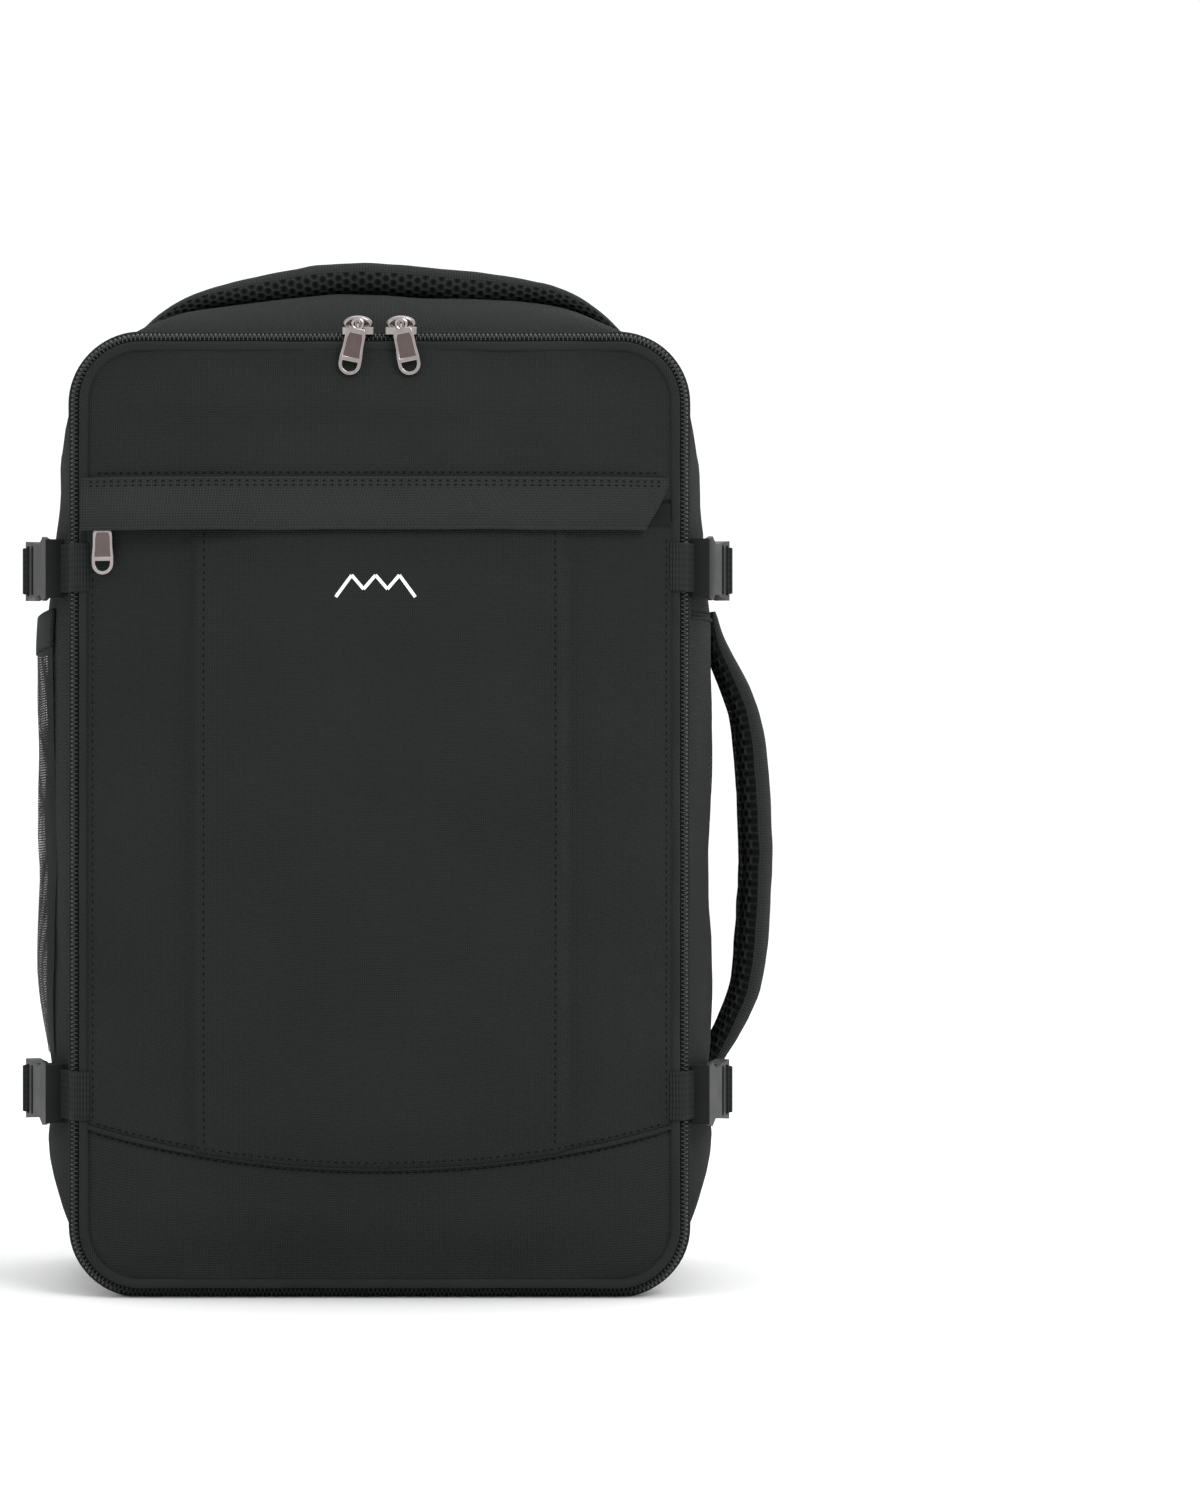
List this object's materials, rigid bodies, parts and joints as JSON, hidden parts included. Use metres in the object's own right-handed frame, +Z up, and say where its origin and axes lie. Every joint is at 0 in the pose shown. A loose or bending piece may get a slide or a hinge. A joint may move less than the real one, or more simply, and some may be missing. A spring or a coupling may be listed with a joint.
{
  "type": "travel backpack",
  "caption": "Carry-on travel backpack with clamshell lid, front pocket, laptop compartment, padded straps and handles, side-release compression straps.",
  "frame": {"origin": "centre of the flat base the bag stands on", "axes": "+Z up, -Y towards the lid and front pocket, +X towards the side with the carrying handle"},
  "size_m": [0.3863, 0.3567, 0.534],
  "materials": {
    "shell_fabric": "charcoal polyester oxford weave",
    "flap_twill": "coarse charcoal twill",
    "binding": "black diagonal twill binding",
    "webbing": "black ribbed webbing",
    "zip_tape": "woven zip tape with coil",
    "lining": "light blue-grey satin lining",
    "net_mesh": "open elastic net",
    "air_mesh": "padded spacer mesh",
    "board": "foam and plastic board",
    "buckle_plastic": "satin moulded plastic",
    "zip_metal": "gunmetal plated zinc",
    "port_rubber": "soft moulded rubber"
  },
  "bodies": {
    "root": {"side_panel_right": "shell_fabric", "side_panel_left": "shell_fabric", "top_panel": "shell_fabric", "base_panel": "shell_fabric", "divider_panel": "lining", "main_lining": "lining", "body_zip_tape": "zip_tape", "hinge_strip": "shell_fabric", "inner_strap": "webbing", "laptop_gusset": "shell_fabric", "laptop_zip": "zip_tape", "back_board": "shell_fabric", "back_pads": "air_mesh", "luggage_strap": "shell_fabric", "shoulder_strap_right": "air_mesh", "shoulder_strap_left": "air_mesh", "ladder_locks": "buckle_plastic", "shoulder_webbing": "webbing", "strap_wings": "shell_fabric", "top_handle": "air_mesh", "side_handle": "air_mesh", "bottle_pocket": "net_mesh", "bottle_pocket_binding": "binding", "usb_port": "port_rubber", "side_pocket_zip": "zip_tape", "compression_webbing": "webbing", "female_buckles_left": "buckle_plastic"},
    "lid": {"lid_upper_panel": "shell_fabric", "lid_flap": "flap_twill", "front_pocket": "shell_fabric", "lid_lower_panel": "shell_fabric", "lid_board": "board", "lid_lining": "lining", "lid_piping": "binding", "lid_zip_tape": "zip_tape", "lid_mesh_pockets": "net_mesh", "lid_mesh_zips": "zip_tape", "pocket_zip": "zip_tape", "lid_webbing": "webbing", "female_buckles_right": "buckle_plastic"},
    "male_buckle_right_upper": {"male_buckle_right_upper": "buckle_plastic"},
    "male_buckle_right_lower": {"male_buckle_right_lower": "buckle_plastic"},
    "male_buckle_left_upper": {"male_buckle_left_upper": "buckle_plastic"},
    "male_buckle_left_lower": {"male_buckle_left_lower": "buckle_plastic"},
    "main_zip_right_slider": {"main_zip_right_slider": "zip_metal"},
    "main_zip_right_puller": {"main_zip_right_puller": "zip_metal"},
    "main_zip_left_slider": {"main_zip_left_slider": "zip_metal"},
    "main_zip_left_puller": {"main_zip_left_puller": "zip_metal"},
    "laptop_zip_upper_slider": {"laptop_zip_upper_slider": "zip_metal"},
    "laptop_zip_upper_puller": {"laptop_zip_upper_puller": "zip_metal"},
    "laptop_zip_lower_slider": {"laptop_zip_lower_slider": "zip_metal"},
    "laptop_zip_lower_puller": {"laptop_zip_lower_puller": "zip_metal"},
    "side_pocket_zip_slider": {"side_pocket_zip_slider": "zip_metal"},
    "side_pocket_zip_puller": {"side_pocket_zip_puller": "zip_metal"},
    "pocket_zip_slider": {"pocket_zip_slider": "zip_metal"},
    "pocket_zip_puller": {"pocket_zip_puller": "zip_metal"},
    "lid_mesh_zip_lower_slider": {"lid_mesh_zip_lower_slider": "zip_metal"},
    "lid_mesh_zip_lower_puller": {"lid_mesh_zip_lower_puller": "zip_metal"},
    "lid_mesh_zip_upper_slider": {"lid_mesh_zip_upper_slider": "zip_metal"},
    "lid_mesh_zip_upper_puller": {"lid_mesh_zip_upper_puller": "zip_metal"}
  },
  "joints": [
    {"name": "lid_hinge", "type": "hinge", "parent": "root", "child": "lid", "pos_m": [-0.157, -0.108, 0.246], "axis": [0, 0, -1], "range_deg": [0, 110]},
    {"name": "male_buckle_right_upper_slide", "type": "slide", "parent": "root", "child": "male_buckle_right_upper", "axis": [0.2873, 0.9578, 0], "range_m": [0, 0.028]},
    {"name": "male_buckle_right_lower_slide", "type": "slide", "parent": "root", "child": "male_buckle_right_lower", "axis": [0.2873, 0.9578, 0], "range_m": [0, 0.028]},
    {"name": "male_buckle_left_upper_slide", "type": "slide", "parent": "root", "child": "male_buckle_left_upper", "axis": [-0.2873, 0.9578, 0], "range_m": [0, 0.028]},
    {"name": "male_buckle_left_lower_slide", "type": "slide", "parent": "root", "child": "male_buckle_left_lower", "axis": [-0.2873, 0.9578, 0], "range_m": [0, 0.028]},
    {"name": "main_zip_right_slide", "type": "slide", "parent": "lid", "child": "main_zip_right_slider", "axis": [1, 0, 0], "range_m": [0, 0.1]},
    {"name": "main_zip_right_pull", "type": "hinge", "parent": "main_zip_right_slider", "child": "main_zip_right_puller", "pos_m": [0.011, -0.108, 0.496], "axis": [-1, 0, 0], "range_deg": [0, 150]},
    {"name": "main_zip_left_slide", "type": "slide", "parent": "lid", "child": "main_zip_left_slider", "axis": [-1, 0, 0], "range_m": [0, 0.1]},
    {"name": "main_zip_left_pull", "type": "hinge", "parent": "main_zip_left_slider", "child": "main_zip_left_puller", "pos_m": [-0.011, -0.108, 0.496], "axis": [-1, 0, 0], "range_deg": [0, 150]},
    {"name": "laptop_zip_upper_slide", "type": "slide", "parent": "root", "child": "laptop_zip_upper_slider", "axis": [0, 0, 1], "range_m": [0, 0.026]},
    {"name": "laptop_zip_upper_pull", "type": "hinge", "parent": "laptop_zip_upper_slider", "child": "laptop_zip_upper_puller", "pos_m": [0.1631, 0.107, 0.42], "axis": [0, -1, 0], "range_deg": [0, 150]},
    {"name": "laptop_zip_lower_slide", "type": "slide", "parent": "root", "child": "laptop_zip_lower_slider", "axis": [0, 0, -1], "range_m": [0, 0.014]},
    {"name": "laptop_zip_lower_pull", "type": "hinge", "parent": "laptop_zip_lower_slider", "child": "laptop_zip_lower_puller", "pos_m": [0.1631, 0.107, 0.382], "axis": [0, -1, 0], "range_deg": [0, 150]},
    {"name": "side_pocket_zip_slide", "type": "slide", "parent": "root", "child": "side_pocket_zip_slider", "axis": [0, 0, -1], "range_m": [0, 0.2]},
    {"name": "side_pocket_zip_pull", "type": "hinge", "parent": "side_pocket_zip_slider", "child": "side_pocket_zip_puller", "pos_m": [0.16532, 0.09364, 0.33], "axis": [0.2873, -0.9578, 0], "range_deg": [0, 150]},
    {"name": "pocket_zip_slide", "type": "slide", "parent": "lid", "child": "pocket_zip_slider", "axis": [0.9656, -0.26, 0], "range_m": [0, 0.036]},
    {"name": "pocket_zip_pull", "type": "hinge", "parent": "pocket_zip_slider", "child": "pocket_zip_puller", "pos_m": [-0.14004, -0.1282, 0.3951], "axis": [-0.9656, 0.26, 0], "range_deg": [0, 20]},
    {"name": "lid_mesh_zip_lower_slide", "type": "slide", "parent": "lid", "child": "lid_mesh_zip_lower_slider", "axis": [-1, 0, 0], "range_m": [0, 0.24]},
    {"name": "lid_mesh_zip_lower_pull", "type": "hinge", "parent": "lid_mesh_zip_lower_slider", "child": "lid_mesh_zip_lower_puller", "pos_m": [0.129, -0.1043, 0.25], "axis": [1, 0, 0], "range_deg": [0, 150]},
    {"name": "lid_mesh_zip_upper_slide", "type": "slide", "parent": "lid", "child": "lid_mesh_zip_upper_slider", "axis": [-1, 0, 0], "range_m": [0, 0.24]},
    {"name": "lid_mesh_zip_upper_pull", "type": "hinge", "parent": "lid_mesh_zip_upper_slider", "child": "lid_mesh_zip_upper_puller", "pos_m": [0.129, -0.1043, 0.43], "axis": [1, 0, 0], "range_deg": [0, 150]}
  ]
}
